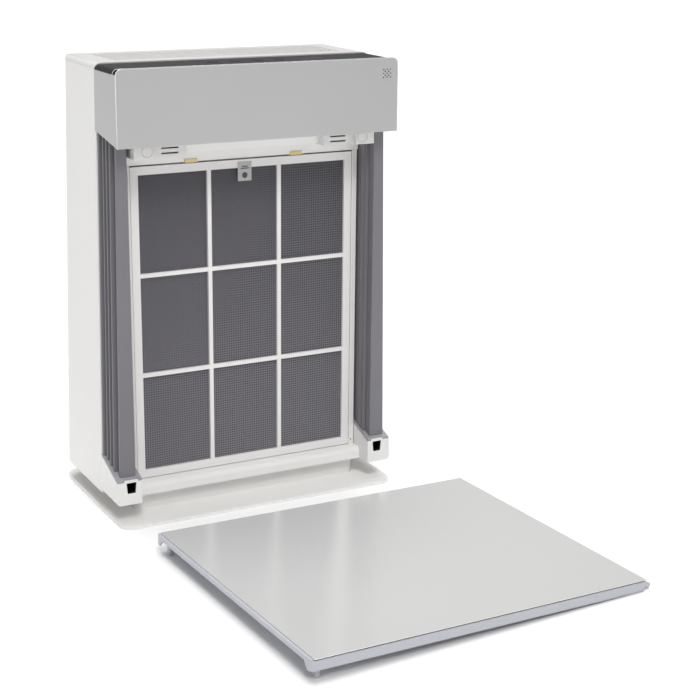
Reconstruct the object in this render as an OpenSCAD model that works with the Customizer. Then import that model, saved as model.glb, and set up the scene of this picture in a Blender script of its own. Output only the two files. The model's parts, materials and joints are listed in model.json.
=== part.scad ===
// Free-standing room air purifier with a lift-off front panel.
// Millimetres, +Z up, -Y is the front. The origin is the centre of the base plate's underside.

/* [Housing] */
// Width of the body at its top
body_w = 397; // [340:1:480]
// Height of the body above the floor
body_h = 610; // [520:1:740]
// How much further each side stands out at the bottom than at the top
side_flare = 10; // [0:0.5:14]
// Depth of the white housing at its top, behind the joint with the header
shell_d = 132; // [115:1:170]
// How much further back the rear wall is at the bottom than at the top
rear_lean = 22; // [0:1:30]
// Position of the joint between the housing and the header, from the base centre
joint_y = -42; // [-50:1:-36]
// Wall thickness of the housing
wall = 2.5; // [1.5:0.1:4]
// Radius of the rear vertical corners
rear_r = 22; // [10:1:32]
// Radius of the top edges
top_r = 9; // [6:0.5:12]

/* [Base] */
// Width of the base plate
base_w = 413; // [380:1:500]
// Depth of the base plate
base_d = 244; // [220:1:290]
// Thickness of the base plate
base_t = 5; // [4:0.5:9]
// Corner radius of the base plate
base_r = 20; // [8:1:40]
// Height of the gap between the base plate and the housing
plinth_h = 25; // [14:1:34]

/* [Header] */
// Height of the silver header
header_h = 98.5; // [80:0.5:125]
// Depth of the header, from the joint to its front face
header_d = 82; // [76:1:100]
// Thickness of the front fascia
fascia_t = 3; // [2:0.5:5]
// How far the header's underside rises per millimetre towards the rear
header_rise = 0.16; // [0:0.01:0.25]
// Diameter of each air sensor hole
sensor_d = 2; // [1:0.1:2.4]
// Spacing of the air sensor holes
sensor_pitch = 2.6; // [2.5:0.1:4]

/* [Controls] */
// Number of push buttons on the deck
button_n = 4; // [4]
// Diameter of a push button
button_d = 14; // [9:0.5:18]
// Distance between button centres
button_pitch = 32; // [22:1:44]
// Travel of a push button
button_travel = 1.2; // [0.6:0.1:2]

/* [Air inlet columns] */
// Width of the front face of a column at the header
column_w = 19.5; // [16:0.5:26]
// Depth of the recess between the fascia's front and the columns' faces
column_set = 25; // [20:1:34]
// Number of thin fins behind the face of a column
fin_n = 3; // [2:1:4]
// Thickness of a fin
fin_t = 3; // [2:0.5:4]
// Width of the gap between two fins
fin_gap = 9.3; // [7:0.1:12]
// Height of a foot block's front face
foot_h = 32; // [26:1:46]
// Width of the hook socket at its mouth
socket_w = 14; // [10:0.5:18]

/* [Filters] */
// Width of the bezel rail beside the pre-filter
bezel_w = 8.2; // [5:0.1:12]
// Height of the lower bar under the pre-filter
bar_h = 17; // [14:0.5:30]
// Height of the latch strip between the header and the pre-filter
strip_h = 32.5; // [26:0.5:44]
// Depth of the pre-filter frame
pre_d = 9; // [7:0.5:13]
// Width of the pre-filter frame's rim
pre_rim = 11; // [7:0.5:16]
// Width of the pre-filter's grid bars
grid_w = 5.5; // [3:0.5:8]
// Thickness of the carbon filter
carbon_t = 7; // [4:0.5:10]
// Thickness of the particle filter
hepa_t = 33; // [22:1:42]
// Number of pleats in the particle filter
pleat_n = 36; // [20:1:44]

/* [Fan] */
// Length of the motor
motor_len = 28; // [22:1:36]
// Diameter of the motor
motor_d = 84; // [60:1:100]
// Diameter of the motor shaft
shaft_d = 8; // [6:0.5:10]
// Number of impeller blades
blade_n = 30; // [20:1:40]

/* [Front panel] */
// How far the panel reaches past the housing at each side
panel_overlap = 1.5; // [0:0.5:6]
// Length of the panel tray, from its hooks to its top edge
panel_l = 476; // [400:1:600]
// Depth of the tray's skirt
skirt_d = 14.5; // [11:0.5:18]
// Depth of the tray's skirt between the hooks
low_skirt_d = 6; // [4:0.5:9]
// Width of the tray's rim at the hook end, beside the silver sheet
sheet_edge = 4.5; // [3:0.5:8]
// How far the hooks stand out of the tray's back
hook_out = 13.3; // [8:0.1:16]
// How far the striker pads stand out of the tray's back
pad_out = 0.5; // [0.3:0.1:4]
// How far the top lip reaches up behind the fascia
lip_l = 10; // [6:0.5:14]
// Sideways place of the panel's centre on the floor
panel_x = 55.5; // [20:0.5:120]
// Forward place of the panel's centre on the floor
panel_y = -394.7; // [-520:0.1:-370]
// Turn of the panel on the floor, in degrees
panel_turn = 2.9; // [0:0.1:6]

/* [Hidden] */
$fn = 64;
fit = 0.4;
lift = base_t + plinth_h;
front_y = joint_y - header_d;
rear_top_y = joint_y + shell_d;
header_z = body_h - header_h;
// Deck and top corner
deck_r = 8;
deck_top = body_h - 1.5;
deck_z = body_h - deck_r;
groove_d = 17;
// Columns and feet
column_y = front_y + column_set;
post_t = 5;
fin_pitch = fin_t + fin_gap;
column_in = body_w / 2 - column_w;
column_inset = 4;
post_inset = 7;
ring_groove = 0.9;
rail_inset = 2;
return_t = 2;
return_d = post_t + fin_gap - 0.8;
fin_slot = 1.5;
fin_lip_t = 2;
foot_y = column_y - 7;
foot_in = column_in - 6.5;
foot_rise = 0.34;
foot_top = lift + foot_h;
cap_t = 3;
foot_r = 6;
socket_x = column_in + 8.5;
socket_z = foot_top - 1;
socket_h = 15;
socket_lip = 1.5;
socket_deep = 26;
rim_w = 2.5;
rim_deep = 4;
liner_t = 1.2;
brace_n = 3;
brace_t = 2.4;
// Pre-filter and what surrounds it
bezel_out = column_in - 7.5;
bezel_in = bezel_out - bezel_w;
pre_w = 2 * (bezel_in - 0.8);
pre_z0 = lift + bar_h + 1;
pre_z1 = header_z - strip_h - 2;
pre_y = joint_y - 22;
pin_r = 2.5;
pin_z = pre_z0 + 5;
pin_y = pre_y + 2.7;
run_gap = 0.08;
mesh_t = 1;
mesh_y = pre_y + 4;
frame_t = 3;
frame_y = joint_y - frame_t;
bar_r = min(11, bar_h / 2 - 0.5);
strip_z = header_z - strip_h;
strip_y = front_y + skirt_d + pad_out + 0.4;
magnet_x = column_in - 24;
magnet_r = 7;
magnet_z = header_z - 7.5;
block_z = header_z - 17.5;
block_in = magnet_x - 9.5;
block_out = column_in - 6;
slots_in = magnet_x - 56;
lip_y = pre_y + 1;
strip_t = 3;
tab_x = 77;
// Filter pocket
pocket_t = 2;
pocket_w = 2 * bezel_in - 6;
pocket_z0 = pre_z0 + 2;
pocket_z1 = pre_z1 - 3;
carbon_y = joint_y - 6;
hepa_y = carbon_y + carbon_t + 1;
guard_y = hepa_y + hepa_t + 1;
guard_t = 2.5;
filter_gap = 1.5;
// Fan
fan_z = (pre_z0 + pre_z1) / 2 - 12;
scroll_y = guard_y + guard_t;
scroll_r = body_w / 2 - 28;
fan_r = scroll_r - 45;
eye_r = fan_r - 30;
motor_y1 = rear_in(fan_z) - 8;
motor_y0 = motor_y1 - motor_len;
scroll_y1 = motor_y0 - 1;
mount_t = 2.5;
shaft_r = shaft_d / 2;
// Outlet
outlet_y0 = joint_y + 22;
outlet_y1 = rear_top_y - 24;
outlet_w = body_w - 66;
slat_n = 14;
// Boards and buttons
button_z = deck_top - 4.5;
button_y = joint_y - 30;
board_z = deck_z - 13;
switch_h = 3.5;
stem_z = board_z + 1.6 + switch_h + button_travel + fit;
// Panel on the floor: it rests on its hook tips and on its striker pads
sheet_t = 1.2;
sheet_gap = 0.4;
tape_t = 1;
face_t = sheet_t + tape_t;
tray_floor = 2.5;
tray_r = 6;
skirt_t = 2.5;
ear_w = 9;
hook_w = 9;
hook_l = 6;
hook_x = -panel_l / 2 + 14;
pad_l = 8;
pad_w = 14;
pad_x = panel_l / 2 - 7;
hook_reach = skirt_d + hook_out;
panel_w = body_w + 2 * panel_overlap;
lip_half = panel_w / 2 - 4;
pad_reach = skirt_d + pad_out;
hook_low_x = hook_x + hook_l / 2;
pad_low_x = pad_x + pad_l / 2;
panel_tilt = atan((hook_reach - pad_reach) / (pad_low_x - hook_low_x));
panel_z = pad_low_x * sin(panel_tilt) + pad_reach * cos(panel_tilt);
// Power inlet
inlet_x = -135;
inlet_z = lift + 37;
inlet_w = 26;
inlet_h = 17;

// Half width of the body at height z
function hw(z) = body_w / 2 + side_flare * (body_h - z) / (body_h - lift);
// Rear face of the housing at height z, and its inner face
function rear(z) = rear_top_y + rear_lean * (body_h - z) / (body_h - lift);
function rear_in(z) = rear(z) - wall;
// Underside of the header and top of a foot block at depth y
function header_under(y) = header_z + header_rise * (y - front_y);
function foot_top_at(y) = foot_top + foot_rise * (y - foot_y);

module extrude_y(y0, y1) {
    rotate([90, 0, 0]) translate([0, 0, -y1]) linear_extrude(height = y1 - y0) children();
}

module extrude_x(x0, x1) {
    translate([x0, 0, 0]) rotate([90, 0, 90]) linear_extrude(height = x1 - x0) children();
}

module left() {
    mirror([1, 0, 0]) children();
}

module both() {
    children();
    mirror([1, 0, 0]) children();
}

module box(x0, x1, y0, y1, z0, z1) {
    translate([x0, y0, z0]) cube([x1 - x0, y1 - y0, z1 - z0]);
}

module round_rect(w, d, r) {
    difference() {
        square([w, d], center = true);
        for (sx = [-1, 1], sy = [-1, 1])
            translate([sx * (w / 2 - r / 2 + 1), sy * (d / 2 - r / 2 + 1)]) square(r + 2, center = true);
    }
    for (sx = [-1, 1], sy = [-1, 1])
        translate([sx * (w / 2 - r), sy * (d / 2 - r)]) circle(r);
}

// Upright band on the right side that follows the flared side, from inner to inset inside the side
module flared(inner, inset, z0, z1) {
    polygon([[inner, z0], [hw(z0) - inset, z0], [hw(z1) - inset, z1], [inner, z1]]);
}

// Front outline of the body between two heights, with rounded top corners
module body_outline(inset, z0, z1, r) {
    polygon([
        [-hw(z0) + inset, z0], [hw(z0) - inset, z0], [hw(z1 - r) - inset, z1 - r],
        [hw(z1) - r - inset, z1], [-hw(z1) + r + inset, z1], [-hw(z1 - r) + inset, z1 - r]
    ]);
    for (s = [-1, 1]) translate([s * (hw(z1 - r) - r - inset), z1 - r]) circle(r);
}

// ---- Base ----

module screw_places() {
    for (sx = [-1, 1], sy = [-1, 0, 1]) translate([sx * (body_w / 2 - 60), sy * 55, 0]) children();
}

module pad_places() {
    for (sx = [-1, 1], sy = [-1, 1])
        translate([sx * (base_w / 2 - 26), sy * (base_d / 2 - 26), 0]) children();
}

module base_plate() {
    color("whitesmoke") difference() {
        linear_extrude(height = base_t) round_rect(base_w, base_d, base_r);
        pad_places() translate([0, 0, -1]) cylinder(r = 9.1, h = 2.5);
        screw_places() translate([0, 0, -1]) cylinder(r = 2.2, h = base_t + 2);
        screw_places() translate([0, 0, -1]) cylinder(r = 4.2, h = 3.5);
    }
}

module base_pads() {
    color("dimgray") pad_places() cylinder(r = 9, h = 1.5);
}

module base_screws() {
    color("silver") screw_places() {
        translate([0, 0, 0.4]) cylinder(r = 4, h = 2);
        translate([0, 0, 1]) cylinder(r = 2, h = base_t + 7);
    }
}

module plinth_block(w, d, z, h, r) {
    translate([0, 6, z]) linear_extrude(height = h) round_rect(w, d, r);
}

module screw_bore() {
    translate([0, 0, base_t - 1]) cylinder(r = 2, h = 9.2);
}

module screw_boss() {
    difference() {
        translate([0, 0, base_t]) cylinder(r = 5, h = 10);
        screw_bore();
    }
}

module plinth() {
    color("gainsboro") screw_places() screw_boss();
    color("gainsboro") difference() {
        plinth_block(body_w - 60, 150, base_t, plinth_h, 12);
        plinth_block(body_w - 66, 144, base_t + 3, plinth_h, 9);
        screw_places() screw_bore();
    }
}

// ---- Housing ----

// Side outline of the housing between two heights, with a rounded top rear corner
module side_outline(inset, z0, z1, r) {
    y0 = joint_y - inset;
    polygon([
        [y0, z0], [rear(z0) - inset, z0], [rear(z1 - r) - inset, z1 - r],
        [rear(z1 - r) - inset - r, z1], [y0, z1]
    ]);
    translate([rear(z1 - r) - inset - r, z1 - r]) circle(r);
}

// What is taken off to round the right rear corner, which leans inwards and forwards
module rear_corner_cut(t) {
    r = rear_r - t;
    a = side_flare / (body_h - lift);
    b = rear_lean / (body_h - lift);
    tall = 1.1 * body_h;
    translate([hw(0) - t - r * sqrt(1 + a * a), rear(0) - t - r * sqrt(1 + b * b), 0])
        rotate([asin(b / sqrt(1 + a * a + b * b)), -atan(a), 0]) difference() {
            cube([2 * r, 2 * r, tall]);
            translate([0, 0, -1]) cylinder(r = r + 0.02, h = tall + 2);
        }
}

// Body of the white housing, shrunk by t and then open at the front
module shell_body(t) {
    difference() {
        intersection() {
            extrude_y(joint_y - t, rear(0)) body_outline(t, lift + t, body_h - t, top_r - t);
            extrude_x(-body_w, body_w) side_outline(t, lift + t, body_h - t, top_r - t);
        }
        both() rear_corner_cut(t);
    }
}

module housing_shell() {
    color("white") difference() {
        shell_body(0);
        shell_body(wall);
        box(-outlet_w / 2, outlet_w / 2, outlet_y0, outlet_y1, body_h - 20, body_h + 5);
        box(inlet_x - inlet_w / 2, inlet_x + inlet_w / 2, rear(inlet_z) - 12, rear(inlet_z) + 12,
            inlet_z - inlet_h / 2, inlet_z + inlet_h / 2);
    }
}

module outlet_grille() {
    w = outlet_w - 0.4;
    y0 = outlet_y0 + 0.2;
    y1 = outlet_y1 - 0.2;
    pitch = (y1 - y0) / slat_n;
    color("lightgray") {
        difference() {
            box(-w / 2, w / 2, y0, y1, body_h - 11, body_h - 1.2);
            box(-w / 2 + 3, w / 2 - 3, y0 + 3, y1 - 3, body_h - 12, body_h);
        }
        for (i = [1 : slat_n - 1])
            box(-w / 2 + 2, w / 2 - 2, y0 + i * pitch - 1.2, y0 + i * pitch + 1.2, body_h - 10, body_h - 1.6);
        for (sx = [-0.25, 0, 0.25])
            box(sx * w - 1.2, sx * w + 1.2, y0 + 2, y1 - 2, body_h - 10.5, body_h - 4);
    }
}

// ---- Header ----

module header_solid(inset, y0, y1) {
    intersection() {
        extrude_y(y0, y1) body_outline(inset, header_z - 1, body_h, deck_r);
        extrude_x(-body_w, body_w) polygon([
            [front_y - 5, header_under(front_y - 5) + inset],
            [joint_y + 5, header_under(joint_y + 5) + inset],
            [joint_y + 5, body_h + 5], [front_y - 5, body_h + 5]
        ]);
    }
}

module header_surround() {
    color("silver") difference() {
        header_solid(0, front_y + fascia_t, joint_y);
        header_solid(wall, front_y, joint_y + 1);
        box(-lip_half - 0.6, lip_half + 0.6, front_y, strip_y - 0.3, header_z - 1, header_z + 8);
        box(-body_w, body_w, front_y, joint_y + 1, deck_z, body_h + 5);
    }
}

module fascia() {
    color("silver") difference() {
        extrude_y(front_y, front_y + fascia_t) body_outline(0, header_z, body_h, deck_r);
        sensor_places() rotate([90, 0, 0]) cylinder(d = sensor_d, h = 3 * fascia_t, center = true, $fn = 24);
    }
}

// Five rows of holes, three and two in turn, near the right end of the fascia
module sensor_places() {
    for (row = [-2 : 2], col = [-2 : 2])
        if ((row + col) % 2 == 0)
            translate([body_w / 2 - 15.5 + col * sensor_pitch, front_y, body_h - 20.5 + row * sensor_pitch])
                children();
}

module top_deck() {
    color("dimgray") difference() {
        union() {
            extrude_y(front_y + groove_d, joint_y) body_outline(0.5, deck_z - 12, deck_top, deck_r - 0.5);
            extrude_y(front_y + fascia_t, front_y + groove_d)
                body_outline(2, deck_z - 12, deck_top - 3, deck_r - 2.5);
        }
        box(-body_w, body_w, front_y, joint_y + 1, deck_z - 20, deck_z);
        button_places() translate([0, 0, deck_z - 2]) cylinder(d = button_d + 2 * fit, h = deck_r + 2);
        lens_box(0.1, deck_z - 1, deck_top + 1);
    }
}

module lens_box(gap, z0, z1) {
    x = (button_n / 2 + 1) * button_pitch;
    box(x - 18 - gap, x + 18 + gap, button_y - 5 - gap, button_y + 5 + gap, z0, z1);
}

module indicator_lens() {
    color("black") lens_box(0, deck_z, deck_top - 0.2);
}

module button_places() {
    for (i = [0 : button_n - 1]) button_place(i) children();
}

module button_place(i) {
    translate([(i - (button_n - 1) / 2) * button_pitch, button_y, 0]) children();
}

module button(i) {
    button_place(i) {
        translate([0, 0, button_z]) cylinder(d = button_d, h = 5);
        translate([0, 0, stem_z]) cylinder(d = 4, h = button_z - stem_z + 0.5);
    }
}

module power_button() {
    color("darkslategray") button(0);
}

module speed_button() {
    color("darkslategray") button(1);
}

module mode_button() {
    color("darkslategray") button(2);
}

module timer_button() {
    color("darkslategray") button(3);
}

module control_board() {
    l = (button_n + 3) * button_pitch;
    color("darkgreen") {
        box(-l / 2, l / 2, button_y - 14, button_y + 14, board_z, board_z + 1.6);
        button_places() box(-3, 3, -3, 3, board_z + 1, board_z + 1.6 + switch_h);
        box(-l / 2 + 6, -l / 2 + 20, button_y - 8, button_y + 8, board_z + 1, board_z + 8);
    }
}

module dust_sensor() {
    color("black") translate([body_w / 2 - 15.5, front_y + fascia_t, body_h - 24]) {
        box(-10, 10, 0.5, 22, -16, 10.5);
        box(-6, 6, 22, 27, -10, 4);
    }
}

// ---- Strip and frame around the pre-filter ----

module latch_strip() {
    color("whitesmoke") difference() {
        union() {
            strip_box(-slots_in, slots_in, strip_y + 10, block_z + 2, 12);
            both() strip_box(slots_in, block_in, strip_y + 7, block_z, 0);
            both() difference() {
                strip_box(block_in, block_out, strip_y, block_z, 0);
                translate([magnet_x, 0, magnet_z]) {
                    extrude_y(strip_y - 1, strip_y + 4.1) circle(magnet_r + 0.1);
                    extrude_y(strip_y - 1, strip_y + ring_groove) circle(magnet_r + ring_groove);
                }
            }
            both() translate([magnet_x, strip_y, magnet_z]) extrude_y(ring_groove, 6) difference() {
                circle(magnet_r + 2.1);
                circle(magnet_r + 0.1);
            }
        }
        both() for (z = [block_z + 4, block_z + 10.7])
            box(magnet_x - 45.5, magnet_x - 22, strip_y + 6, strip_y + 20, z, z + 2);
    }
}

// One hollow length of the strip, from x0 to x1
module strip_box(x0, x1, front, low, slope) {
    difference() {
        extrude_x(x0, x1) strip_section(front, low, slope, 0);
        extrude_x(x0 + strip_t / 2, x1 - strip_t / 2) strip_section(front, low, slope, strip_t);
    }
}

// Section of the strip, shrunk by t but open at the back; its front face slopes back to its lower edge
module strip_section(front, low, slope, t) {
    y1 = frame_y + (t > 0 ? 1 : 0);
    polygon([
        [front + slope + t, low + t], [lip_y + t, low + t], [lip_y + t, strip_z + t], [y1, strip_z + t],
        [y1, header_under(y1) - t], [front + t, header_under(front) - t]
    ]);
}

module latch_magnets() {
    color("gainsboro") both() translate([magnet_x, strip_y, magnet_z])
        rotate([-90, 0, 0]) cylinder(r = magnet_r, h = 4);
}

module prefilter_clips() {
    color("goldenrod") both() {
        box(tab_x - 11, tab_x + 11, lip_y, pre_y + 8, strip_z - 1.2, strip_z);
        box(tab_x - 9, tab_x + 9, lip_y - 1.2, lip_y, strip_z - 1.2, strip_z + 4);
    }
}

module interlock_switch() {
    color("black") {
        box(magnet_x - 60, magnet_x - 40, joint_y + 0.2, joint_y + 8, strip_z + 8, strip_z + 19);
        box(magnet_x - 52, magnet_x - 47, joint_y + 8, joint_y + 14, strip_z + 10, strip_z + 12);
    }
}

module front_frame() {
    color("white") {
        difference() {
            extrude_y(frame_y, joint_y) both_halves() flared(-0.01, 0.3, lift, header_under(frame_y));
            box(-bezel_in, bezel_in, joint_y - 10, joint_y + 10, pre_z0 - 0.5, strip_z);
            box(-magnet_x + 30, magnet_x - 30, joint_y - 10, joint_y + 10, strip_z - 1, body_h);
        }
        both() bezel_rail();
    }
}

module both_halves() {
    children();
    mirror([1, 0]) children();
}

module bezel_rail() {
    difference() {
        union() {
            box(bezel_in, bezel_out, lip_y, joint_y, lift + bar_h, strip_z);
            box(bezel_in, bezel_in + 2.5, pre_y - 0.5, pre_y + 1.5, lift + bar_h, strip_z);
        }
        translate([bezel_in - 1, pin_y, pin_z]) rotate([0, 90, 0]) cylinder(r = pin_r + run_gap, h = 6);
    }
}

// Section of the lower bar with a rounded top front edge, shrunk by t but open at the back
module bar_section(t) {
    y0 = pre_y - 18 + t;
    z0 = lift + t;
    z1 = lift + bar_h - t;
    r = bar_r - t;
    y1 = frame_y + (t > 0 ? 1 : 0);
    polygon([[y0, z0], [y1, z0], [y1, z1], [y0 + r, z1], [y0, z1 - r]]);
    translate([y0 + r, z1 - r]) circle(r);
}

module lower_bar() {
    color("white") difference() {
        extrude_x(-foot_in, foot_in) bar_section(0);
        extrude_x(3 - foot_in, foot_in - 3) bar_section(3);
    }
}

// ---- Air inlet columns and feet ----

// Space above the sloping foot cap and under the sloping header
module column_zone() {
    extrude_x(0, 2 * body_w) polygon([
        [foot_y, foot_top_at(foot_y) + cap_t], [frame_y, foot_top_at(frame_y) + cap_t],
        [frame_y, header_under(frame_y)], [foot_y, header_under(foot_y)]
    ]);
}

module column_post() {
    intersection() {
        union() {
            extrude_y(column_y, column_y + post_t) flared(column_in, post_inset, lift, header_z + 30);
            box(column_in, column_in + return_t, column_y, column_y + return_d, lift, header_z + 30);
        }
        column_zone();
    }
}

// The fins behind the first have a lip along the inner edge, which leaves a narrow slot between them
module column_fins() {
    fin_in = column_in - 4;
    rail_front = min(column_y + post_t + fin_n * fin_pitch + fin_gap, frame_y - 5);
    intersection() {
        union() {
            for (i = [1 : fin_n]) {
                y = column_y + post_t + i * fin_pitch - fin_t;
                extrude_y(y, y + fin_t) flared(fin_in, column_inset, lift, header_z + 30);
                if (i > 1)
                    box(fin_in, fin_in + fin_lip_t, y - fin_gap + fin_slot, y + 1, lift, header_z + 30);
            }
            extrude_y(rail_front, rail_front + 2) flared(fin_in, rail_inset, lift, header_z + 30);
            extrude_y(rail_front, frame_y) difference() {
                flared(fin_in, rail_inset, lift, header_z + 30);
                flared(fin_in - 1, rail_inset + fin_t, lift - 1, header_z + 31);
            }
            braces(fin_in + 1, rail_front + 1);
        }
        column_zone();
    }
}

module braces(x0, back) {
    step = (header_z - foot_top) / (brace_n + 1);
    y0 = column_y + return_d + 0.4;
    for (i = [1 : brace_n])
        extrude_x(x0, column_in + 8) translate([0, i * step]) polygon([
            [y0, foot_top_at(y0)], [back, foot_top_at(back)],
            [back, foot_top_at(back) + brace_t], [y0, foot_top_at(y0) + brace_t]
        ]);
}

// Front outline of a foot up to height z1, with a rounded lower outer corner
module foot_outline(z1) {
    polygon([
        [foot_in, lift], [hw(lift + foot_r) - foot_r, lift], [hw(lift + foot_r), lift + foot_r],
        [hw(z1), z1], [foot_in, z1]
    ]);
    translate([hw(lift + foot_r) - foot_r, lift + foot_r]) circle(foot_r);
}

// Outline of the hook socket, narrower at its bottom and grown by t
module socket_outline(t) {
    w = socket_w / 2 + t;
    translate([socket_x, socket_z])
        polygon([[-w, t], [w, t], [w - 1.5, -socket_h - t], [1.5 - w, -socket_h - t]]);
}

// Raised rim over the socket
module socket_rim() {
    w = socket_w / 2 + rim_w;
    box(socket_x - w, socket_x + w, foot_y, foot_y + rim_deep, foot_top - 2, foot_top + rim_w);
}

module foot() {
    difference() {
        union() {
            intersection() {
                extrude_y(foot_y, frame_y) foot_outline(foot_top + 50);
                extrude_x(0, 2 * body_w) polygon([
                    [foot_y, lift - 1], [frame_y, lift - 1],
                    [frame_y, foot_top_at(frame_y)], [foot_y, foot_top_at(foot_y)]
                ]);
            }
            socket_rim();
        }
        extrude_y(foot_y - 1, foot_y + socket_lip + 1) socket_outline(0);
        extrude_y(foot_y + socket_lip, foot_y + socket_deep) socket_outline(liner_t);
    }
}

module hook_pockets() {
    color("black") both() difference() {
        extrude_y(foot_y + socket_lip, foot_y + socket_deep) socket_outline(liner_t);
        extrude_y(foot_y, foot_y + socket_deep - liner_t) socket_outline(0);
    }
}

module foot_cap() {
    w = socket_w / 2 + rim_w;
    difference() {
        intersection() {
            extrude_y(foot_y + 0.5, frame_y) flared(foot_in, 0.6, lift, foot_top + 60);
            extrude_x(0, 2 * body_w) polygon([
                [foot_y, foot_top_at(foot_y)], [frame_y, foot_top_at(frame_y)],
                [frame_y, foot_top_at(frame_y) + cap_t], [foot_y, foot_top_at(foot_y) + cap_t]
            ]);
        }
        box(socket_x - w, socket_x + w, foot_y - 1, foot_y + rim_deep, lift, foot_top + 60);
    }
}

module left_column_post() {
    color("gray") left() column_post();
}

module right_column_post() {
    color("gray") column_post();
}

module left_column_fins() {
    color("gray") left() column_fins();
}

module right_column_fins() {
    color("gray") column_fins();
}

module left_foot() {
    color("whitesmoke") left() foot();
}

module right_foot() {
    color("whitesmoke") foot();
}

module left_foot_cap() {
    color("gray") left() foot_cap();
}

module right_foot_cap() {
    color("gray") foot_cap();
}

// ---- Filters ----

module prefilter_frame() {
    w = pre_w - 2 * pre_rim;
    h = pre_z1 - pre_z0 - 2 * pre_rim;
    cw = (w - 2 * grid_w) / 3;
    ch = (h - 2 * grid_w) / 3;
    color("whitesmoke") {
        difference() {
            box(-pre_w / 2, pre_w / 2, pre_y, pre_y + pre_d, pre_z0, pre_z1);
            for (i = [0 : 2], j = [0 : 2])
                translate([-w / 2 + i * (cw + grid_w), pre_y - 1, pre_z0 + pre_rim + j * (ch + grid_w)])
                    cube([cw, pre_d + 2, ch]);
            box(-w / 2 - 4, w / 2 + 4, mesh_y, pre_y + pre_d + 1, pre_z0 + pre_rim - 4, pre_z1 - pre_rim + 4);
        }
        both() translate([pre_w / 2 - 1, pin_y, pin_z]) rotate([0, 90, 0]) cylinder(r = pin_r, h = 4.5);
    }
}

module prefilter_mesh() {
    w = pre_w - 2 * pre_rim + 7.6;
    edge = pre_rim - 3.8;
    color("dimgray") box(-w / 2, w / 2, mesh_y, mesh_y + mesh_t, pre_z0 + edge, pre_z1 - edge);
}

module prefilter_tag() {
    color("lightgray") box(-10, 10, pre_y - 0.8, pre_y, pre_z1 - pre_rim - 18, pre_z1 - 3);
}

module filter_pocket() {
    w = pocket_w / 2 + pocket_t;
    color("white") difference() {
        box(-w, w, joint_y, guard_y, pocket_z0 - pocket_t, pocket_z1 + pocket_t);
        box(-pocket_w / 2, pocket_w / 2, joint_y - 1, guard_y + 1, pocket_z0, pocket_z1);
    }
}

module carbon_filter() {
    w = pocket_w - 2 * filter_gap;
    color("black")
        box(-w / 2, w / 2, carbon_y, carbon_y + carbon_t, pocket_z0 + filter_gap, pocket_z1 - filter_gap);
}

module hepa_frame() {
    w = pocket_w - 2 * filter_gap;
    color("whitesmoke") difference() {
        box(-w / 2, w / 2, hepa_y, hepa_y + hepa_t, pocket_z0 + filter_gap, pocket_z1 - filter_gap);
        box(-w / 2 + 8, w / 2 - 8, hepa_y - 1, hepa_y + hepa_t + 1, pocket_z0 + 8, pocket_z1 - 8);
    }
}

// Folded sheet: a zigzag of the given thickness across the filter's width
module hepa_pleats() {
    w = pocket_w - 2 * filter_gap - 16.4;
    pitch = w / (2 * pleat_n);
    y0 = hepa_y + 2;
    y1 = hepa_y + hepa_t - 3;
    front = [for (i = [0 : 2 * pleat_n]) [-w / 2 + i * pitch, i % 2 == 0 ? y0 : y1]];
    back = [for (i = [2 * pleat_n : -1 : 0]) [-w / 2 + i * pitch, (i % 2 == 0 ? y0 : y1) + 1.2]];
    color("ivory") translate([0, 0, pocket_z0 + 8.2])
        linear_extrude(height = pocket_z1 - pocket_z0 - 16.4) polygon(concat(front, back));
}

// ---- Fan ----

module fan_guard() {
    w = pocket_w / 2 + pocket_t;
    color("whitesmoke") difference() {
        box(-w, w, guard_y, guard_y + guard_t, pocket_z0 - pocket_t, pocket_z1 + pocket_t);
        translate([0, 0, fan_z]) difference() {
            extrude_y(guard_y - 1, guard_y + guard_t + 1) difference() {
                circle(eye_r);
                for (r = [14 : 16 : eye_r - 8]) difference() {
                    circle(r + 1.5);
                    circle(r - 1.5);
                }
                for (a = [0 : 60 : 120]) rotate(a) square([2 * eye_r + 2, 4], center = true);
            }
        }
    }
}

// Outline of the fan casing and its outlet duct, centred on the fan's axis and grown by t
module scroll_outline(t) {
    top = body_h - fan_z - 14;
    right_x = scroll_r - 16 + t;
    translate([12, 0]) circle(fan_r + 24 + t);
    polygon([[right_x, 0], [right_x, top], [20 - scroll_r - t, top], [-fan_r * 0.75 - t, fan_r * 0.6]]);
}

module fan_scroll() {
    color("gainsboro") translate([0, 0, fan_z]) difference() {
        extrude_y(scroll_y, scroll_y1) scroll_outline(2);
        extrude_y(scroll_y - 1, scroll_y1 - 2) scroll_outline(0);
        extrude_y(scroll_y, scroll_y1 + 1) circle(motor_d / 2 + 1);
        box(-body_w, body_w, scroll_y - 1, scroll_y1 - 2, body_h - fan_z - 14.01, body_h);
    }
}

module impeller() {
    y0 = scroll_y + 4;
    y1 = scroll_y1 - 6;
    color("darkgray") translate([0, 0, fan_z]) difference() {
        union() {
            extrude_y(y1 - 2, y1) circle(fan_r);
            extrude_y(y0, y0 + 2) difference() {
                circle(fan_r);
                circle(fan_r - 24);
            }
            extrude_y(y0 + 8, y1) circle(18);
            extrude_y(y0 + 1, y1 - 1) for (i = [0 : blade_n - 1])
                rotate(i * 360 / blade_n) translate([fan_r - 13, 0])
                    rotate(28) square([22, 1.6], center = true);
        }
        extrude_y(y0, y1 + 1) circle(shaft_r);
    }
}

module motor_shaft() {
    color("silver") translate([0, 0, fan_z]) extrude_y(scroll_y + 12, motor_y1 - 4) circle(shaft_r);
}

module motor() {
    color("dimgray") translate([0, 0, fan_z]) difference() {
        union() {
            extrude_y(motor_y0, motor_y1) circle(motor_d / 2);
            extrude_y(motor_y0 - 3, motor_y0) circle(shaft_r + 5);
        }
        extrude_y(motor_y0 - 4, motor_y1 - 3) circle(shaft_r + run_gap);
    }
}

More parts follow.
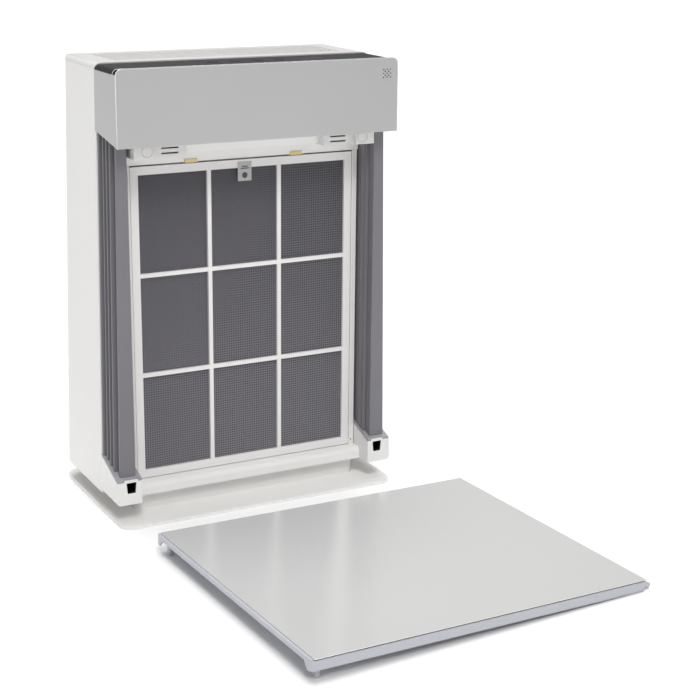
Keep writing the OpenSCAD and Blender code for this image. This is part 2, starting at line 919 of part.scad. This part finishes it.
module mount_places() {
    translate([0, 0, fan_z]) for (a = [30 : 120 : 270])
        rotate([0, a, 0]) translate([0, 0, motor_d / 2 + 12]) children();
}

module motor_mount() {
    color("silver") difference() {
        translate([0, 0, fan_z]) union() {
            extrude_y(motor_y1, motor_y1 + mount_t) circle(motor_d / 2 + 4);
            for (a = [30 : 120 : 270]) rotate([0, a, 0])
                box(-9, 9, motor_y1, motor_y1 + mount_t, 0, motor_d / 2 + 20);
        }
        mount_places() extrude_y(motor_y1 - 1, motor_y1 + mount_t + 1) circle(2.1);
    }
}

module motor_screws() {
    color("silver") mount_places() {
        extrude_y(motor_y1 - 2.4, motor_y1) circle(4);
        extrude_y(motor_y1 - 1, motor_y1 + mount_t + 2) circle(2);
    }
}

// ---- Electrics ----

module power_board() {
    y = scroll_y1 + 2;
    color("darkgreen") {
        box(body_w / 2 - 96, body_w / 2 - 20, y, y + 1.6, lift + 20, lift + 110);
        box(body_w / 2 - 90, body_w / 2 - 62, y + 1, y + 20, lift + 30, lift + 56);
        for (i = [0 : 2]) translate([body_w / 2 - 40, 0, lift + 36 + 24 * i])
            extrude_y(y + 1, y + 18) circle(8);
    }
}

module ioniser() {
    color("black") {
        box(-body_w / 2 + 8, -body_w / 2 + 26, scroll_y + 8, scroll_y + 34, body_h - 90, body_h - 50);
        box(-body_w / 2 + 14, -body_w / 2 + 20, scroll_y + 14, scroll_y + 20, body_h - 50, body_h - 40);
    }
}

module power_inlet() {
    y = rear(inlet_z);
    w = inlet_w / 2 - 0.3;
    h = inlet_h / 2 - 0.3;
    color("black") difference() {
        union() {
            box(inlet_x - w, inlet_x + w, y - 18, y, inlet_z - h, inlet_z + h);
            box(inlet_x - w - 3, inlet_x + w + 3, y - 18, y - 8, inlet_z - h - 3, inlet_z + h + 3);
        }
        box(inlet_x - 8.5, inlet_x + 8.5, y - 12, y + 1, inlet_z - 4.5, inlet_z + 4.5);
    }
    color("silver") for (s = [-1, 1])
        translate([inlet_x + s * 4.3, 0, inlet_z]) extrude_y(y - 13, y - 3) circle(1.2);
}

// ---- Front panel, lying face up on the floor ----

// Panel coordinates: X runs from the hooks to the top edge and Z = 0 is the silver face
module on_floor() {
    translate([panel_x, panel_y, panel_z]) rotate([0, 0, panel_turn]) rotate([0, panel_tilt, 0]) children();
}

module panel_tray() {
    x0 = -panel_l / 2;
    top = -face_t - tray_floor;
    color("lightgray") on_floor() difference() {
        union() {
            translate([0, 0, -skirt_d]) linear_extrude(height = skirt_d) round_rect(panel_l, panel_w, tray_r);
            top_lip();
        }
        translate([0, 0, -skirt_d - 1]) linear_extrude(height = skirt_d + 1 + top)
            round_rect(panel_l - 2 * skirt_t, panel_w - 2 * skirt_t, tray_r - skirt_t);
        box(x0 + sheet_edge - 2 * sheet_gap, panel_l, -panel_w, panel_w, -face_t, 1);
        extrude_x(x0 - 1, x0 + skirt_t + 1) low_skirt_outline();
    }
}

// What is cut out of the skirt between its two corner ears, with sloping ends
module low_skirt_outline() {
    w = panel_w / 2 - ear_w;
    polygon([
        [-w, -skirt_d - 1], [w, -skirt_d - 1], [w, -skirt_d],
        [w - 7, -low_skirt_d], [7 - w, -low_skirt_d], [-w, -skirt_d]
    ]);
}

// Lip along the panel's top edge, which stands behind the fascia when the panel is fitted
module top_lip() {
    x1 = panel_l / 2;
    extrude_y(-lip_half, lip_half) polygon([
        [x1 - 1, -3.5], [x1 + 2, -3.5], [x1 + lip_l - 0.5, -8], [x1 + lip_l, -11], [x1 + lip_l - 1.5, -13],
        [x1 - 1, -13]
    ]);
}

// Plate under the panel's face, from z0 up, with its edges shrunk by t
module face_plate(t, z0, h) {
    x0 = -panel_l / 2 + sheet_edge + t;
    x1 = panel_l / 2 - sheet_gap - t;
    on_floor() translate([(x0 + x1) / 2, 0, z0]) linear_extrude(height = h)
        round_rect(x1 - x0, panel_w - 2 * sheet_gap - 2 * t, 2);
}

module panel_tape() {
    color("black") face_plate(0.7, -face_t, tape_t);
}

module panel_sheet() {
    color("silver") face_plate(0, -sheet_t, sheet_t);
}

module panel_hooks() {
    top = -face_t - tray_floor;
    x0 = hook_x - hook_l / 2;
    x1 = hook_x + hook_l / 2;
    color("whitesmoke") on_floor() for (y = [-socket_x, socket_x]) {
        box(x0, x1, y - hook_w / 2, y + hook_w / 2, -hook_reach, top);
        box(x1, x1 + 22, y - 1.5, y + 1.5, -skirt_d, top);
    }
}

module panel_strikers() {
    top = -face_t - tray_floor;
    color("dimgray") on_floor() for (y = [-magnet_x, magnet_x])
        box(pad_x - pad_l / 2, pad_x + pad_l / 2, y - pad_w / 2, y + pad_w / 2, -pad_reach, top);
}

base_plate();
base_pads();
base_screws();
plinth();
housing_shell();
outlet_grille();
header_surround();
fascia();
top_deck();
indicator_lens();
power_button();
speed_button();
mode_button();
timer_button();
control_board();
dust_sensor();
latch_strip();
latch_magnets();
prefilter_clips();
interlock_switch();
front_frame();
lower_bar();
left_column_post();
right_column_post();
left_column_fins();
right_column_fins();
left_foot();
right_foot();
left_foot_cap();
right_foot_cap();
hook_pockets();
prefilter_frame();
prefilter_mesh();
prefilter_tag();
filter_pocket();
carbon_filter();
hepa_frame();
hepa_pleats();
fan_guard();
fan_scroll();
impeller();
motor_shaft();
motor();
motor_mount();
motor_screws();
power_board();
ioniser();
power_inlet();
panel_tray();
panel_tape();
panel_sheet();
panel_hooks();
panel_strikers();
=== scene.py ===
"""Looks of a floor-standing room air purifier with its front panel lifted off."""

import json
import math

import bmesh
import bpy
from mathutils import Matrix, Vector


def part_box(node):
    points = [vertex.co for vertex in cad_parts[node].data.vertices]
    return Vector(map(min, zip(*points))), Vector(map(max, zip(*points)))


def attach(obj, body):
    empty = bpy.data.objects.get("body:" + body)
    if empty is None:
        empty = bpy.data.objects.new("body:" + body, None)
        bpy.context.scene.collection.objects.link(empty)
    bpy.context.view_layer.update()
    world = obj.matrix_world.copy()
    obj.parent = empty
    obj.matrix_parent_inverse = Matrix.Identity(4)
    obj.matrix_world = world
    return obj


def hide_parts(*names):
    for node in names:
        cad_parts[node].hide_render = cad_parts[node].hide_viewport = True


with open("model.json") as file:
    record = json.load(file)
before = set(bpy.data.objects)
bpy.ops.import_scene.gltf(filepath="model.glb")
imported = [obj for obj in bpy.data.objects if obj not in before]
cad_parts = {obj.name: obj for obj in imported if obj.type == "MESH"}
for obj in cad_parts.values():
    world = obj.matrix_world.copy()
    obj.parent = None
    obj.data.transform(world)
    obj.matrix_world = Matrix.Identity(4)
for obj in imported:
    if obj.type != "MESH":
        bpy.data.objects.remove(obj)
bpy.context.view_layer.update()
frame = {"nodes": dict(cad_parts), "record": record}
MM = 0.001
CLOUDS_PER_METRE = 9.0
FACE_CORNER = 8 * MM
DECK_CORNER = 7.5 * MM
LIP_BEHIND_FACE = 17 * MM


# ---- Tools for materials ----

def linear(code):
    """Turns an sRGB hex value into the linear colour, with full opacity, that shaders use."""
    parts = [int(code[i:i + 2], 16) / 255 for i in (1, 3, 5)]
    red, green, blue = (c / 12.92 if c <= 0.04045 else ((c + 0.055) / 1.055) ** 2.4 for c in parts)
    return red, green, blue, 1.0


def add(tree, kind, inputs=None, **settings):
    """Adds a shader node with its settings; an input is a value or another node's output socket."""
    node = tree.nodes.new(kind)
    for key, value in settings.items():
        setattr(node, key, value)
    for key, value in (inputs or {}).items():
        if isinstance(value, bpy.types.NodeSocket):
            tree.links.new(value, node.inputs[key])
        else:
            node.inputs[key].default_value = value
    return node


def start_material(name, colour, **values):
    """A new material with one principled shader, and the object coordinates its patterns use."""
    made = bpy.data.materials.new(name)
    made.use_nodes = True
    tree = made.node_tree
    tree.nodes.clear()
    shader = add(tree, "ShaderNodeBsdfPrincipled", {"Base Color": linear(colour)})
    for key, value in values.items():
        shader.inputs[key.replace("_", " ").title().replace("Ior", "IOR")].default_value = value
    add(tree, "ShaderNodeOutputMaterial", {"Surface": shader.outputs[0]})
    place = add(tree, "ShaderNodeTexCoord").outputs["Object"]
    return made, tree, shader, place


def moulded_skin(tree, shader, place, grain_mm, depth, colours, spread=0.35):
    """A moulded surface: a bump from its grain, and a slight change of tone from grain and broad clouds."""
    grain = add(tree, "ShaderNodeTexNoise", {"Vector": place, "Scale": 1 / (grain_mm * MM), "Detail": 3.0})
    cloud = add(tree, "ShaderNodeTexNoise", {"Vector": place, "Scale": CLOUDS_PER_METRE, "Detail": 2.0})
    tone = add(tree, "ShaderNodeMixRGB", {
        "Fac": spread, "Color1": cloud.outputs[0], "Color2": grain.outputs[0]})
    ramp = add(tree, "ShaderNodeMixRGB", {
        "Fac": tone.outputs[0], "Color1": linear(colours[0]), "Color2": linear(colours[1])})
    tree.links.new(ramp.outputs[0], shader.inputs["Base Color"])
    bump = add(tree, "ShaderNodeBump", {"Height": grain.outputs[0], "Distance": depth * MM, "Strength": 1.0})
    tree.links.new(bump.outputs[0], shader.inputs["Normal"])


# ---- Materials ----

def gloss_white_abs():
    """ABS from a polished tool: bright white, glossy, with a faint orange peel."""
    made, tree, shader, place = start_material("gloss_white_moulded_abs", "#ebeae8", roughness=0.26, ior=1.5)
    moulded_skin(tree, shader, place, 5.0, 0.004, ("#e9e8e6", "#eeedeb"))
    return made


def satin_white_abs():
    """ABS from a lightly etched tool: white with a soft, even sheen."""
    made, tree, shader, place = start_material("satin_white_moulded_abs", "#ebe9e8", roughness=0.45, ior=1.5)
    moulded_skin(tree, shader, place, 1.2, 0.01, ("#e9e7e6", "#edebea"))
    return made


def silver_painted_abs():
    """Sprayed silver paint on ABS: fine metal flakes under a satin lacquer."""
    made, tree, shader, place = start_material(
        "silver_sprayed_abs", "#b7b7b7", roughness=0.4, metallic=0.3, coat_weight=0.1, coat_roughness=0.25)
    moulded_skin(tree, shader, place, 0.8, 0.004, ("#b3b3b4", "#bbbbbb"), 0.6)
    return made


def charcoal_abs():
    """Dark ABS from a polished tool: nearly black, semi-gloss."""
    made, tree, shader, place = start_material(
        "charcoal_moulded_abs", "#2c272c", roughness=0.4, ior=1.5, specular_ior_level=0.2)
    moulded_skin(tree, shader, place, 2.0, 0.004, ("#292429", "#302b30"))
    return made


def grey_abs():
    """Grey ABS from a fine-textured tool: an even matt grey that catches light along its edges."""
    made, tree, shader, place = start_material("grey_textured_abs", "#79777c", roughness=0.5, ior=1.5)
    moulded_skin(tree, shader, place, 0.9, 0.012, ("#757378", "#7d7b80"))
    return made


def coarse_grey_abs():
    """Light grey ABS from a coarsely etched tool: small speckles that break up the light."""
    made, tree, shader, place = start_material("coarse_textured_grey_abs", "#9d9ca2", roughness=0.6, ior=1.5)
    moulded_skin(tree, shader, place, 1.4, 0.08, ("#8f8e94", "#a9a8ae"), 0.8)
    return made


def painted_edge_highlight():
    """Painted highlight: a near-white, glossy line that stands in for the light on the silver fascia's
    rounded edge and the deck's lip, with a faint mottle.
    """
    made, tree, shader, place = start_material(
        "painted_highlight_white_gloss", "#fafafb", roughness=0.2, metallic=0.2, coat_weight=0.5)
    moulded_skin(tree, shader, place, 1.0, 0.002, ("#efeff0", "#f8f8f9"), 0.6)
    return made


def printed_mark():
    """Pad-printed dark ink: dense, matt, a little uneven in tone."""
    made, tree, shader, place = start_material("pad_printed_dark_ink", "#4c4a4e", roughness=0.6)
    moulded_skin(tree, shader, place, 0.4, 0.004, ("#454347", "#545256"), 0.7)
    return made


def tray_abs():
    """Light grey ABS with a pearl pigment: the panel's carrier, slightly blue."""
    made, tree, shader, place = start_material("pearl_grey_moulded_abs", "#bfc1c8", roughness=0.36, ior=1.53)
    moulded_skin(tree, shader, place, 1.4, 0.008, ("#bbbdc4", "#c3c5cc"))
    return made


def silver_laminate():
    """Rolled aluminium sheet under a clear satin film: a soft mirror with fine rolling lines."""
    made, tree, shader, place = start_material(
        "satin_rolled_aluminium", "#e8e8e7", roughness=0.22, metallic=0.4)
    line_length, line_pitch = 60 * MM, 0.6 * MM
    stretch = add(tree, "ShaderNodeMapping", {
        "Vector": place, "Scale": (1 / line_length, 1 / line_pitch, 1.0)})
    lines = add(tree, "ShaderNodeTexNoise", {"Vector": stretch.outputs[0], "Scale": 1.0, "Detail": 2.0})
    tone = add(tree, "ShaderNodeMixRGB", {
        "Fac": lines.outputs[0], "Color1": linear("#e6e6e5"), "Color2": linear("#ececeb")})
    tree.links.new(tone.outputs[0], shader.inputs["Base Color"])
    bump = add(tree, "ShaderNodeBump", {"Height": lines.outputs[0], "Distance": 0.002 * MM, "Strength": 0.6})
    tree.links.new(bump.outputs[0], shader.inputs["Normal"])
    return made


def mesh_thread():
    """Threads bonded into a net: dark grey, with painted shade that makes them darker towards the top, where
    the header's shadow falls.
    """
    made, tree, shader, place = start_material("bonded_polyester_thread", "#6c6a71", roughness=0.55)
    grain = add(tree, "ShaderNodeTexNoise", {"Vector": place, "Scale": 1 / (6.0 * MM), "Detail": 3.0})
    height = add(tree, "ShaderNodeSeparateXYZ", {"Vector": place}).outputs["Z"]
    # Painted shade: the thread colour darkens towards the top in place of the header's shadow; the ramp runs
    # from 0 at z 0.48 to 1 at z 0.05.
    header_shadow_ramp = add(tree, "ShaderNodeMapRange", {"Value": height, "From Min": 0.48, "From Max": 0.05})
    shadowed_tone = add(tree, "ShaderNodeMixRGB", {
        "Fac": grain.outputs[0], "Color1": linear("#535157"), "Color2": linear("#605e64")})
    lit_tone = add(tree, "ShaderNodeMixRGB", {
        "Fac": grain.outputs[0], "Color1": linear("#78767c"), "Color2": linear("#848289")})
    tone = add(tree, "ShaderNodeMixRGB", {
        "Fac": header_shadow_ramp.outputs[0], "Color1": shadowed_tone.outputs[0], "Color2": lit_tone.outputs[0]})
    tree.links.new(tone.outputs[0], shader.inputs["Base Color"])
    return made


def black_abs():
    """Black ABS for inner housings: matt, moulded."""
    made, tree, shader, place = start_material("black_moulded_abs", "#1d1d1e", roughness=0.5)
    moulded_skin(tree, shader, place, 1.0, 0.01, ("#19191a", "#222223"))
    return made


def zinc_steel():
    """Zinc-plated pressed steel: bright, slightly blotchy."""
    made, tree, shader, place = start_material("zinc_plated_steel", "#b4b5b7", roughness=0.35, metallic=1.0)
    moulded_skin(tree, shader, place, 2.0, 0.004, ("#a9aaad", "#c0c1c3"), 0.5)
    return made


def sprung_brass():
    """Rolled spring brass: pale gold, satin."""
    made, tree, shader, place = start_material(
        "rolled_spring_brass", "#cdb987", roughness=0.35, metallic=0.9)
    moulded_skin(tree, shader, place, 1.0, 0.003, ("#c4b07c", "#d6c394"), 0.5)
    return made


def soft_rubber():
    """Moulded rubber: dark and dull."""
    made, tree, shader, place = start_material("moulded_rubber", "#262626", roughness=0.85)
    moulded_skin(tree, shader, place, 0.7, 0.02, ("#212121", "#2c2c2c"))
    return made


def carbon_fleece():
    """Activated carbon granules bonded into a fleece: black, rough, with visible grains."""
    made, tree, shader, place = start_material("carbon_granule_fleece", "#18181a", roughness=0.9)
    grains = add(tree, "ShaderNodeTexVoronoi", {"Vector": place, "Scale": 1 / (2.2 * MM)})
    tone = add(tree, "ShaderNodeMixRGB", {
        "Fac": grains.outputs["Distance"], "Color1": linear("#39393b"), "Color2": linear("#151516")})
    tree.links.new(tone.outputs[0], shader.inputs["Base Color"])
    bump = add(tree, "ShaderNodeBump", {
        "Height": grains.outputs["Distance"], "Distance": 0.8 * MM, "Strength": 1.0})
    tree.links.new(bump.outputs[0], shader.inputs["Normal"])
    return made


def filter_paper():
    """Glass fibre filter paper: ivory, softly uneven and fully matt."""
    made, tree, shader, place = start_material("glass_fibre_paper", "#efece0", roughness=0.95)
    moulded_skin(tree, shader, place, 0.5, 0.03, ("#e6e2d4", "#f4f1e8"), 0.7)
    return made


def filter_card():
    """Pressed card frame: off-white, matt, slightly rough and mottled."""
    made, tree, shader, place = start_material("pressed_card", "#e5e3dd", roughness=0.9)
    moulded_skin(tree, shader, place, 1.0, 0.03, ("#dad8d1", "#edebe6"), 0.7)
    return made


def circuit_board():
    """Glass-epoxy board under green solder resist."""
    made, tree, shader, place = start_material("green_glass_epoxy_board", "#1f5b39", roughness=0.35)
    moulded_skin(tree, shader, place, 1.5, 0.006, ("#194d30", "#266a44"), 0.8)
    return made


def enamelled_steel():
    """Stove-enamelled motor can: dark grey, satin."""
    made, tree, shader, place = start_material("enamelled_steel_can", "#3a3a3c", roughness=0.4, metallic=0.2)
    moulded_skin(tree, shader, place, 1.6, 0.006, ("#343436", "#414143"))
    return made


def smoked_acrylic():
    """Cast acrylic, smoked: a black window with a sharp gloss."""
    made, tree, shader, place = start_material("smoked_cast_acrylic", "#0b0b0d", roughness=0.08, ior=1.49)
    moulded_skin(tree, shader, place, 8.0, 0.002, ("#09090b", "#0e0e10"))
    return made


def grey_label_stock():
    """Printed polypropylene label: light warm grey, satin."""
    made, tree, shader, place = start_material("polypropylene_label", "#b9b7b8", roughness=0.45)
    moulded_skin(tree, shader, place, 1.0, 0.004, ("#b3b1b2", "#c0bebf"))
    return made


MATERIAL_OF_SLOT = {
    "white_gloss": gloss_white_abs(), "white_satin": satin_white_abs(), "silver_paint": silver_painted_abs(),
    "charcoal": charcoal_abs(), "grey_plastic": grey_abs(), "tray_plastic": tray_abs(),
    "panel_silver": silver_laminate(), "mesh": mesh_thread(), "black_plastic": black_abs(),
    "steel": zinc_steel(), "brass": sprung_brass(), "rubber": soft_rubber(), "carbon": carbon_fleece(),
    "cap_grey": coarse_grey_abs(), "bright_edge": painted_edge_highlight(), "ink": printed_mark(),
    "hepa_paper": filter_paper(), "hepa_board": filter_card(), "board": circuit_board(),
    "motor_case": enamelled_steel(), "lens": smoked_acrylic(), "tag": grey_label_stock(),
}
MATERIAL_OF_SLOT["grille_white"] = MATERIAL_OF_SLOT["white_satin"]
MATERIAL_OF_SLOT["magnet_cap"] = MATERIAL_OF_SLOT["white_gloss"]
MATERIAL_OF_SLOT["button"] = MATERIAL_OF_SLOT["charcoal"]
MATERIAL_OF_SLOT["impeller_grey"] = MATERIAL_OF_SLOT["grey_plastic"]
MATERIAL_OF_SLOT["striker_steel"] = MATERIAL_OF_SLOT["steel"]

SLOT_OF_NODE = {s["node"]: s["material_slot"] for s in frame["record"]["subparts"]}
BODY_OF_NODE = {n: b for b, ns in frame["record"]["behaviour"]["bodies"].items() for n in ns}

for name, part in frame["nodes"].items():
    part.data.materials.clear()
    part.data.materials.append(MATERIAL_OF_SLOT[SLOT_OF_NODE[name]])


# ---- Tools for pieces ----

def piece(name, bm, body, slot, smooth=True):
    """Makes an object from a bmesh, gives it its finish and lets it ride on a body."""
    mesh = bpy.data.meshes.new(name)
    bm.to_mesh(mesh)
    bm.free()
    made = bpy.data.objects.new(name, mesh)
    bpy.context.scene.collection.objects.link(made)
    made.data.materials.append(MATERIAL_OF_SLOT[slot])
    if smooth:
        mesh.shade_smooth()
    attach(made, body)
    return made


def softened(node, radius_mm):
    """A copy of a CAD part with its edges rounded as a moulding's are; it replaces the part."""
    merge, flat, least = 1e-6, math.radians(0.5), math.radians(25)
    bm = bmesh.new()
    bm.from_mesh(frame["nodes"][node].data)
    bmesh.ops.remove_doubles(bm, verts=bm.verts, dist=merge)
    bmesh.ops.dissolve_limit(bm, angle_limit=flat, verts=bm.verts, edges=bm.edges)
    sharp = [e for e in bm.edges if e.is_manifold and e.calc_face_angle(0) > least]
    bmesh.ops.bevel(bm, geom=sharp, offset=radius_mm * MM, offset_type="OFFSET", affect="EDGES",
                    segments=2, profile=0.5, material=-1, clamp_overlap=True)
    made = piece(node + "_moulding", bm, BODY_OF_NODE[node], SLOT_OF_NODE[node])
    weighted = made.modifiers.new("weighted_normals", "WEIGHTED_NORMAL")
    weighted.keep_sharp = True
    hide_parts(node)


for node, radius in {
    "base_plate": 1.2, "plinth": 1.0, "housing_shell": 1.0, "header_surround": 0.8,
    "fascia": 1.0, "top_deck": 0.6,
    "front_frame": 0.5, "lower_bar": 0.8, "latch_strip": 0.5, "latch_magnets": 0.6,
    "left_column_post": 0.6, "right_column_post": 0.6, "left_column_fins": 0.5, "right_column_fins": 0.5,
    "left_foot": 1.2, "right_foot": 1.2, "left_foot_cap": 0.6, "right_foot_cap": 0.6,
    "prefilter_frame": 0.8, "prefilter_clips": 0.3, "prefilter_tag": 0.2,
    "panel_tray": 0.8, "panel_hooks": 0.8, "panel_strikers": 0.6,
    "power_button": 0.5, "speed_button": 0.5, "mode_button": 0.5, "timer_button": 0.5,
    "outlet_grille": 0.5, "power_inlet": 0.4, "panel_sheet": 0.4,
}.items():
    softened(node, radius)


def span(node):
    """The corners of a CAD part's box, as two vectors in metres."""
    low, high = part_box(node)
    return Vector(low), Vector(high)


def thread(bm, centre, length, wide, flat, along):
    """One flat six-sided thread of the net; along is "X" or "Z"."""
    turn = Matrix.Rotation(math.pi / 2, 4, "Y") if along == "X" else Matrix.Identity(4)
    shape = Matrix.Diagonal((wide / 2, flat / 2, 1.0, 1.0))
    start = Matrix.Translation(centre) @ turn @ Matrix.Translation((0, 0, -length / 2))
    ring = bmesh.ops.create_circle(bm, cap_ends=True, segments=6, radius=1.0, matrix=start @ shape)["verts"]
    face = ring[0].link_faces[0]
    grown = bmesh.ops.extrude_face_region(bm, geom=[face])["geom"]
    moved = [g for g in grown if isinstance(g, bmesh.types.BMVert)]
    push = turn.to_3x3() @ Vector((0, 0, length))
    bmesh.ops.translate(bm, verts=moved, vec=push)


def bonded_net():
    """The pre-filter's net: flat threads both ways, bonded where they cross, with small square holes."""
    low, high = span("prefilter_mesh")
    pitch, wide, flat = 3.4 * MM, 1.9 * MM, 0.5 * MM
    layer = flat * 0.3
    middle, size = (low + high) / 2, high - low
    bm = bmesh.new()
    for k in range(int(size.x / pitch)):
        place = Vector((low.x + (k + 0.5) * pitch, middle.y - layer, middle.z))
        thread(bm, place, size.z, wide, flat, "Z")
    for k in range(int(size.z / pitch)):
        place = Vector((middle.x, middle.y + layer, low.z + (k + 0.5) * pitch))
        thread(bm, place, size.x, wide, flat, "X")
    bmesh.ops.recalc_face_normals(bm, faces=bm.faces)
    made = piece("prefilter_net", bm, "prefilter", "mesh", smooth=False)
    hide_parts("prefilter_mesh")


def tag_print():
    """Generic marks on the pre-filter's tag: a disc and two short dashes."""
    low, high = span("prefilter_tag")
    middle, size = (low + high) / 2, high - low
    ink, disc_radius, dash_height = 0.2 * MM, 4 * MM, 1.4 * MM
    face = low.y - ink / 2
    bm = bmesh.new()
    disc = Matrix.Translation((middle.x, face, low.z + size.z * 0.3)) @ Matrix.Rotation(math.pi / 2, 4, "X")
    bmesh.ops.create_cone(
        bm, cap_ends=True, segments=24, radius1=disc_radius, radius2=disc_radius, depth=ink, matrix=disc)
    # Each dash: how far up the tag it stands and how wide it is, as shares of the tag.
    for row, wide in ((0.66, 0.62), (0.76, 0.44)):
        bar = Matrix.Diagonal((size.x * wide, ink, dash_height, 1.0))
        place = Matrix.Translation((middle.x, face, low.z + size.z * row))
        bmesh.ops.create_cube(bm, size=1.0, matrix=place @ bar)
    piece("prefilter_tag_print", bm, "prefilter", "ink", smooth=False)


def bead(bm, points, radius):
    """A round bead with closed ends that follows a row of points lying in one upright plane."""
    rings = []
    for k, point in enumerate(points):
        ahead = (points[min(k + 1, len(points) - 1)] - points[max(k - 1, 0)]).normalized()
        turn = ahead.to_track_quat("Z", "Y").to_matrix().to_4x4()
        made = bmesh.ops.create_circle(
            bm, cap_ends=k in (0, len(points) - 1), segments=8, radius=radius,
            matrix=Matrix.Translation(point) @ turn)
        rings.append(list({e for v in made["verts"] for e in v.link_edges}))
    for near, far in zip(rings, rings[1:]):
        bmesh.ops.bridge_loops(bm, edges=near + far)
    bmesh.ops.recalc_face_normals(bm, faces=bm.faces)


def corner_points(centre_x, centre_z, y, radius, first, steps=8):
    """Points round a quarter turn, clockwise from the angle where it starts."""
    angles = [first - k * math.pi / 2 / steps for k in range(steps + 1)]
    return [Vector((centre_x + radius * math.cos(t), y, centre_z + radius * math.sin(t))) for t in angles]


def rounded_path(low, high, y, radius, inset):
    """Points up the left edge, over the top and down the right edge of a panel with round top corners."""
    left, right, top = low.x + inset, high.x - inset, high.z - inset
    turn = radius - inset
    points = [Vector((left, y, low.z + inset))]
    points += corner_points(left + turn, top - turn, y, turn, math.pi)
    points += corner_points(right - turn, top - turn, y, turn, math.pi / 2)
    points.append(Vector((right, y, low.z + inset)))
    return points


def header_painted_highlights():
    """Painted highlights: near-white beads up the sides and over the top that stand in for the light on
    rounded edges: one on the fascia's face, one on the deck behind it.
    """
    low, high = span("fascia")
    face_inset, face_bead = 0.5 * MM, 0.55 * MM
    lip_inset, lip_bead = 0.2 * MM, 0.4 * MM
    # Painted highlight on the fascia's rounded edge: a near-white bead.
    bm = bmesh.new()
    bead(bm, rounded_path(low, high, low.y + face_inset, FACE_CORNER, face_inset), face_bead)
    piece("fascia_painted_highlight", bm, "housing", "bright_edge")
    # Painted highlight on the deck's lip: a near-white bead 17 mm behind the fascia's face.
    deck_low, deck_high = span("top_deck")
    bm = bmesh.new()
    bead(bm, rounded_path(deck_low, deck_high, low.y + LIP_BEHIND_FACE, DECK_CORNER, lip_inset), lip_bead)
    piece("deck_lip_painted_highlight", bm, "housing", "bright_edge")


bonded_net()
tag_print()
header_painted_highlights()


# ---- Stage, light and camera ----

def studio_floor():
    """A plain floor of matt white paper."""
    bm = bmesh.new()
    bmesh.ops.create_grid(bm, x_segments=1, y_segments=1, size=30.0)
    mesh = bpy.data.meshes.new("studio_floor")
    bm.to_mesh(mesh)
    bm.free()
    floor = bpy.data.objects.new("studio_floor", mesh)
    bpy.context.scene.collection.objects.link(floor)
    made, tree, shader, place = start_material("matt_white_paper", "#fafafa", roughness=0.9)
    moulded_skin(tree, shader, place, 40.0, 0.0, ("#fafafa", "#fcfcfc"))
    shader.inputs["Emission Color"].default_value = linear("#ffffff")
    shader.inputs["Emission Strength"].default_value = 0.02
    floor.data.materials.append(made)


def studio_sky(strength):
    """An even white sky, with colours shown as they are."""
    world = bpy.data.worlds.new("studio_sky")
    world.use_nodes = True
    world.node_tree.nodes["Background"].inputs["Color"].default_value = linear("#ffffff")
    world.node_tree.nodes["Background"].inputs["Strength"].default_value = strength
    bpy.context.scene.world = world
    bpy.context.scene.view_settings.view_transform = "Standard"


def soft_sun(name, across, height, power, spread):
    """A wide, even light from a compass direction (0 is the front, 90 the right) and a height in degrees."""
    light = bpy.data.lights.new(name, "SUN")
    light.energy = power
    light.angle = math.radians(spread)
    lamp = bpy.data.objects.new(name, light)
    bpy.context.scene.collection.objects.link(lamp)
    lamp.rotation_euler = (math.radians(90 - height), 0, math.radians(across))


def spot_on_the_foot(power):
    """A soft-edged lamp that fills the plinth and the lower front."""
    light = bpy.data.lights.new("foot_fill", "SPOT")
    light.energy = power
    light.spot_size = math.radians(26)
    light.spot_blend = 1.0
    light.shadow_soft_size = 0.35
    lamp = bpy.data.objects.new("foot_fill", light)
    bpy.context.scene.collection.objects.link(lamp)
    place, aim = Vector((-0.35, -1.1, 1.5)), Vector((0.0, -0.1, 0.08))
    turn = (aim - place).to_track_quat("-Z", "Y").to_matrix().to_4x4()
    lamp.matrix_world = Matrix.Translation(place) @ turn


def view_from_front_left():
    """A long lens from the front left, a little above the object."""
    yaw, pitch, roll = (math.radians(a) for a in (28.39, 16.38, 0.71))
    data = bpy.data.cameras.new("camera")
    data.sensor_width = 36.0
    data.lens = 80.52
    camera = bpy.data.objects.new("camera", data)
    bpy.context.scene.collection.objects.link(camera)
    turn = (Matrix.Rotation(-yaw, 4, "Z") @ Matrix.Rotation(math.pi / 2 - pitch, 4, "X")
            @ Matrix.Rotation(roll, 4, "Z"))
    place = Vector((-0.8623, -1.9632, 0.8245))
    camera.matrix_world = Matrix.Translation(place) @ turn
    bpy.context.scene.camera = camera


studio_floor()
studio_sky(0.32)
soft_sun("overhead_bank", 155, 76, 2.2, 45)
soft_sun("front_bank", -12, 50, 0.88, 25)
spot_on_the_foot(58)
view_from_front_left()
